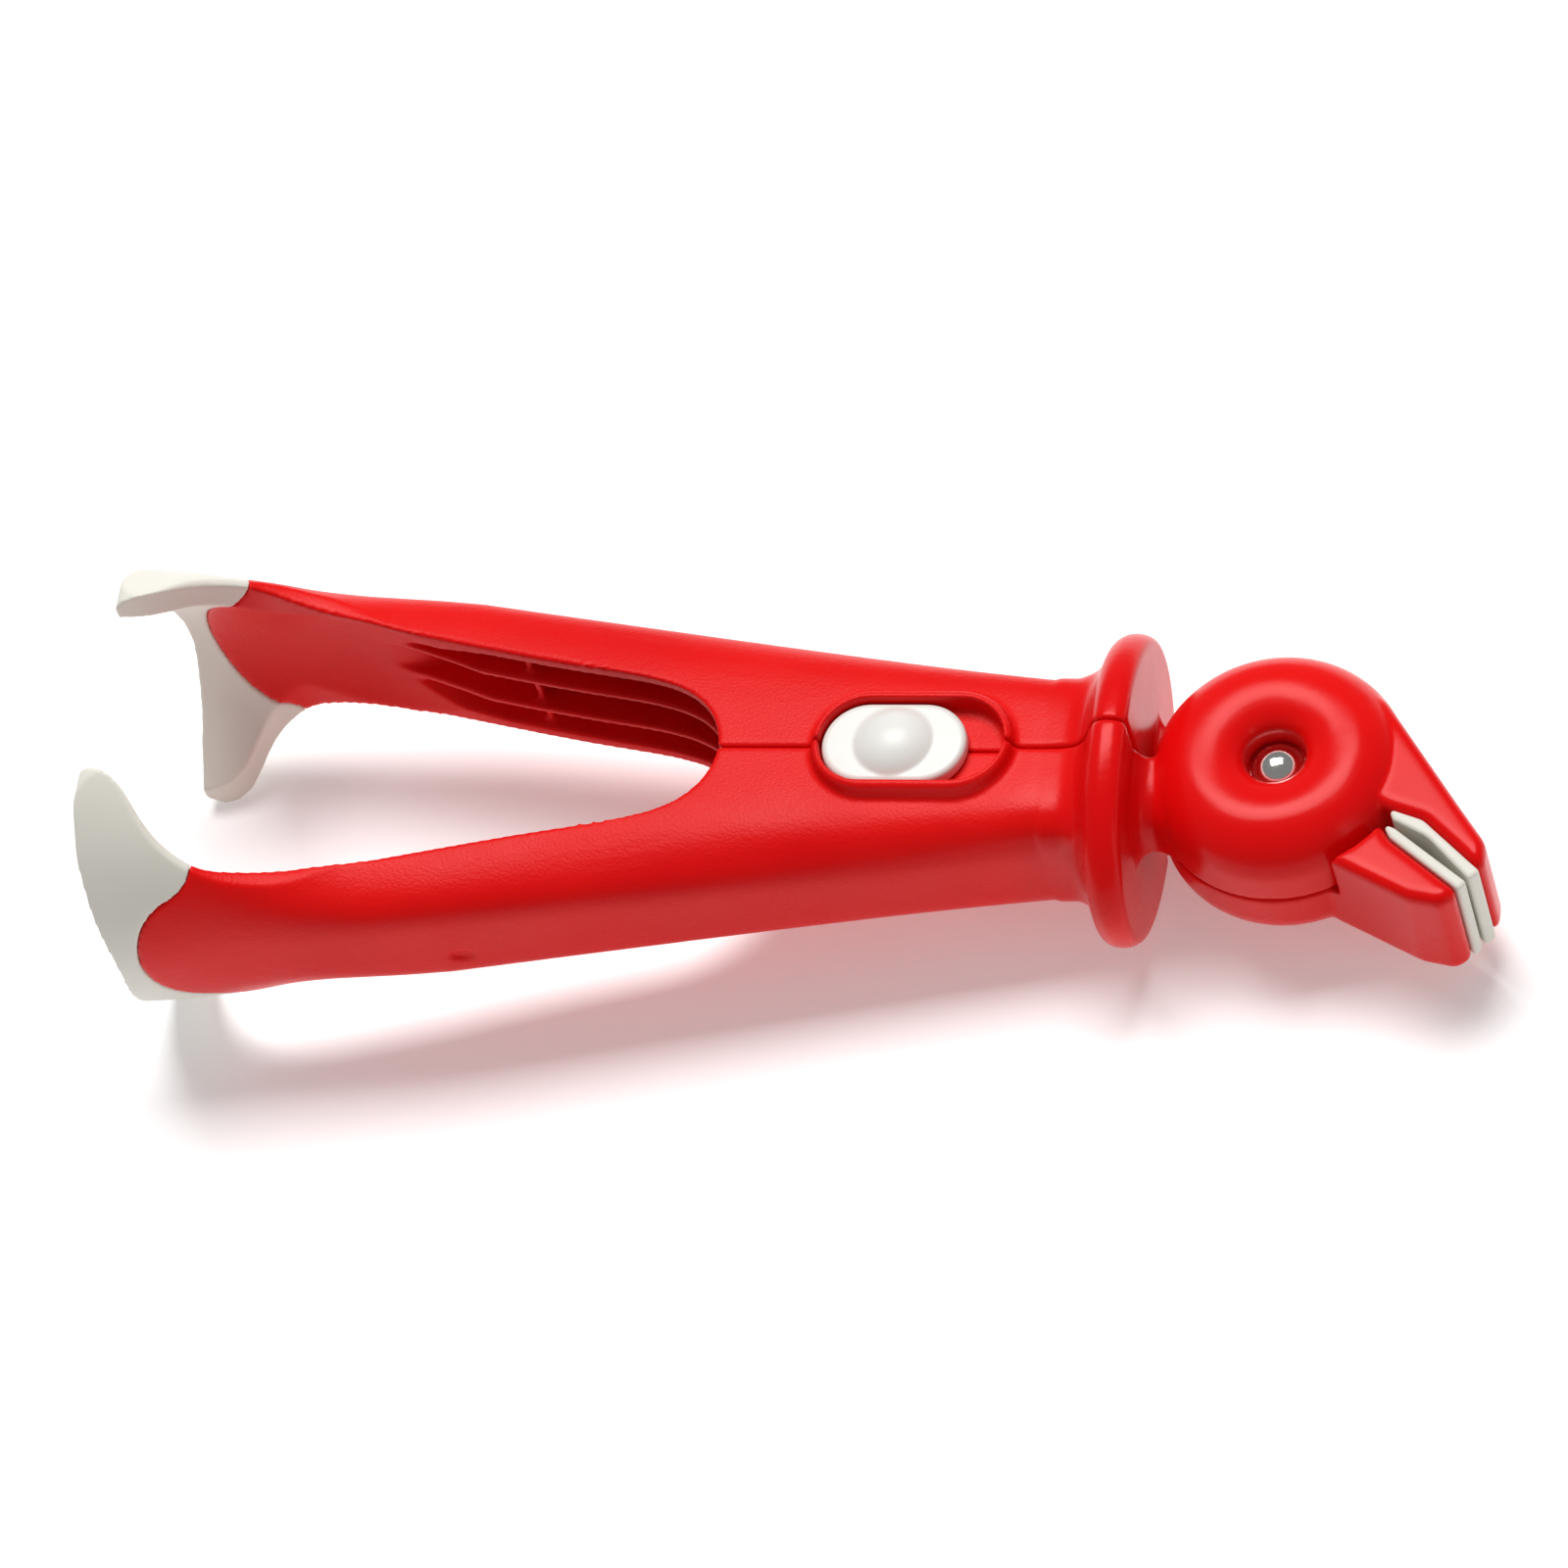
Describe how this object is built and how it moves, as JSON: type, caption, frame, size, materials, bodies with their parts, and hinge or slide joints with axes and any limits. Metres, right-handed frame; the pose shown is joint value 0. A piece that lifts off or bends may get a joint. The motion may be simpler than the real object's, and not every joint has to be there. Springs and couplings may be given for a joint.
{
  "type": "can opener",
  "caption": "Plier-type ring-pull can opener: two crossing levers with a round head, padded jaws, splayed soft feet and a thumb slider that locks it shut.",
  "frame": {"origin": "middle of the bounding box at its lowest level, with the tool lying on its back and the thumb slider up", "axes": "+X from the feet to the beak, +Y towards the rear lever's leg, +Z out of the slider side, parallel to the pivot"},
  "size_m": [0.1972, 0.0618, 0.0538],
  "materials": {
    "red_plastic": "glossy moulded red with fine spark texture on the flats",
    "white_grip": "soft warm white elastomer, matt",
    "white_plastic": "satin moulded white",
    "acetal": "natural acetal, satin",
    "polished_steel": "polished stainless steel",
    "spring_steel": "drawn spring wire",
    "screw_steel": "turned steel"
  },
  "bodies": {
    "front_lever": {"front_lever": "red_plastic", "upper_jaw_pad": "white_grip", "lower_foot_grip": "white_grip", "pivot_rivet": "polished_steel", "rivet_cap": "polished_steel", "disc_washer": "acetal", "opening_spring": "spring_steel"},
    "rear_lever": {"rear_lever": "red_plastic", "lower_jaw_pad": "white_grip", "upper_foot_grip": "white_grip", "catch_pin": "screw_steel"},
    "slider": {"slider_button": "white_plastic", "slider_keeper": "acetal", "keeper_screw": "screw_steel", "latch_clip": "spring_steel", "detent_ball": "polished_steel", "detent_spring": "spring_steel"}
  },
  "joints": [
    {"name": "lever", "type": "hinge", "parent": "front_lever", "child": "rear_lever", "pos_m": [0.068, 0, 0.0269], "axis": [0, 0, -1], "range_deg": [0, 16], "deforming": ["opening_spring", "latch_clip"]},
    {"name": "slider", "type": "slide", "parent": "front_lever", "child": "slider", "axis": [1, 0, 0], "range_m": [0, 0.0052], "deforming": ["latch_clip"]}
  ]
}
